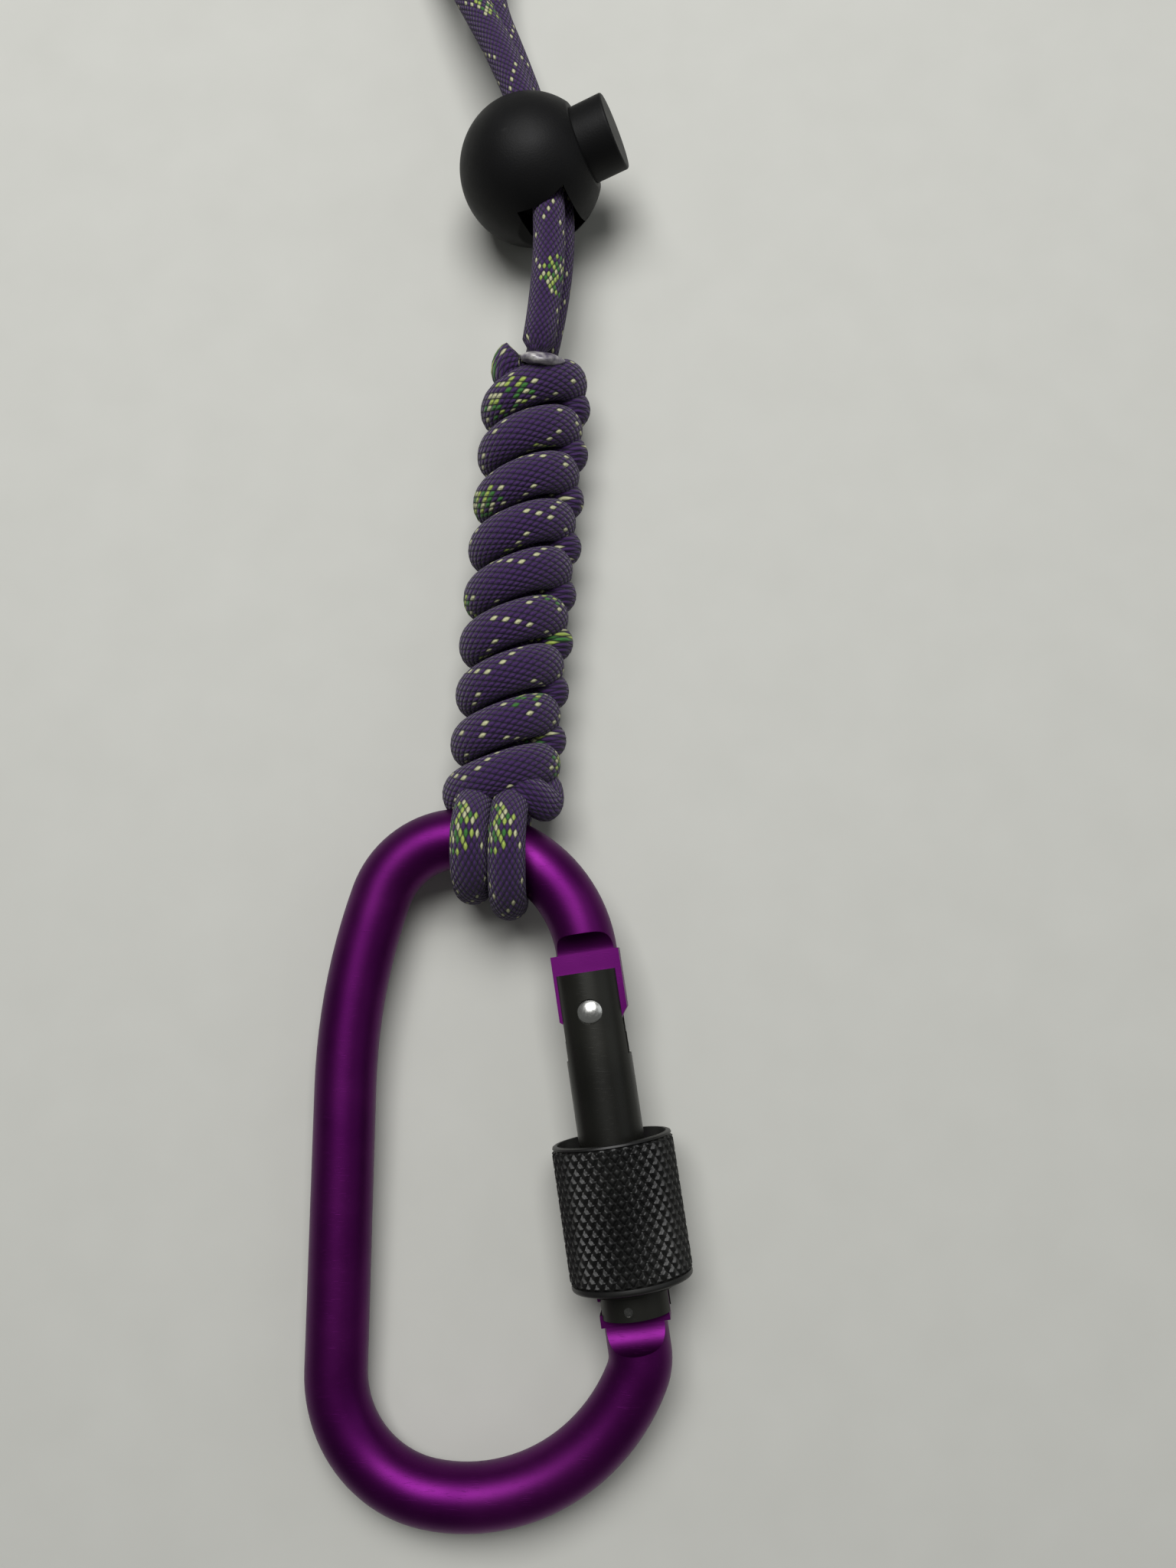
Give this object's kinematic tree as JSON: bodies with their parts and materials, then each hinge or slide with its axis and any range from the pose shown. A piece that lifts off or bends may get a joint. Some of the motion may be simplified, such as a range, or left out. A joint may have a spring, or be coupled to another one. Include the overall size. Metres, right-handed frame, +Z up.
{
  "type": "locking carabiner",
  "caption": "Pear-shaped aluminium carabiner with a sprung gate, a knurled screw sleeve and a knotted cord lanyard carrying a ball cord lock.",
  "frame": {"origin": "on the table under the middle of the carabiner (its box without the cord)", "axes": "+Z up off the table, +Y along the long axis towards the hinge end and the lanyard, +X from the spine towards the gate"},
  "size_m": [0.0578, 0.2779, 0.018],
  "materials": {
    "anodised_purple": "satin purple anodised",
    "anodised_black": "satin black anodised",
    "sleeve_black": "black anodised, diamond knurl",
    "rivet_steel": "bright",
    "spring_steel": "drawn wire",
    "ring_plastic": "nylon",
    "plastic_black": "matte black",
    "paracord": "braided sheath with coloured flecks",
    "melted_nylon": "melted and smoothed"
  },
  "bodies": {
    "bow": {"body_bow": "anodised_purple", "lanyard_cord": "paracord", "lanyard_knot": "paracord", "hitch_strand_left": "paracord", "hitch_strand_right": "paracord", "melted_end": "melted_nylon"},
    "gate_arm": {"gate": "anodised_black", "nose_pin": "rivet_steel", "hinge_rivet": "rivet_steel", "gate_spring": "spring_steel"},
    "pusher": {"spring_pusher": "spring_steel"},
    "sleeve_carrier": {"sleeve_ring": "ring_plastic"},
    "sleeve": {"lock_sleeve": "sleeve_black"},
    "lock_ball": {"cord_lock_ball": "plastic_black", "cord_lock_spring": "spring_steel"},
    "lock_button": {"cord_lock_button": "plastic_black"}
  },
  "joints": [
    {"name": "gate_hinge", "type": "hinge", "parent": "bow", "child": "gate_arm", "pos_m": [0.01049, 0.01637, 0.00768], "axis": [0.086, 0.04, -0.9955], "range_deg": [0, 22], "stiffness_Nm_per_rad": 0.02, "springref_deg": -34.38},
    {"name": "pusher_slide", "type": "slide", "parent": "gate_arm", "child": "pusher", "axis": [0.149, -0.9885, -0.0269], "range_m": [0, 0.00056], "deforming": ["gate_spring"]},
    {"name": "sleeve_travel", "type": "slide", "parent": "gate_arm", "child": "sleeve_carrier", "axis": [-0.149, 0.9885, 0.0269], "range_m": [-0.00329, 0.005]},
    {"name": "sleeve_turn", "type": "hinge", "parent": "sleeve_carrier", "child": "sleeve", "pos_m": [0.01049, 0.01637, 0.00768], "axis": [0.149, -0.9885, -0.0269], "range_deg": [-600, 910]},
    {"name": "cord_lock_slide", "type": "slide", "parent": "bow", "child": "lock_ball", "axis": [-0.2517, 0.9665, -0.0503], "range_m": [-0.004, 0.004]},
    {"name": "button_press", "type": "slide", "parent": "lock_ball", "child": "lock_button", "axis": [-0.9123, -0.2543, -0.3211], "range_m": [0, 0.0028], "stiffness_N_per_m": 250, "springref_m": -0.002, "deforming": ["cord_lock_spring"]}
  ],
  "couplings": [
    {"joint": "pusher_slide", "follows": "gate_hinge", "m_per_rad": 0.0014},
    {"joint": "sleeve_turn", "follows": "sleeve_travel", "rad_per_m": 3141.6}
  ]
}
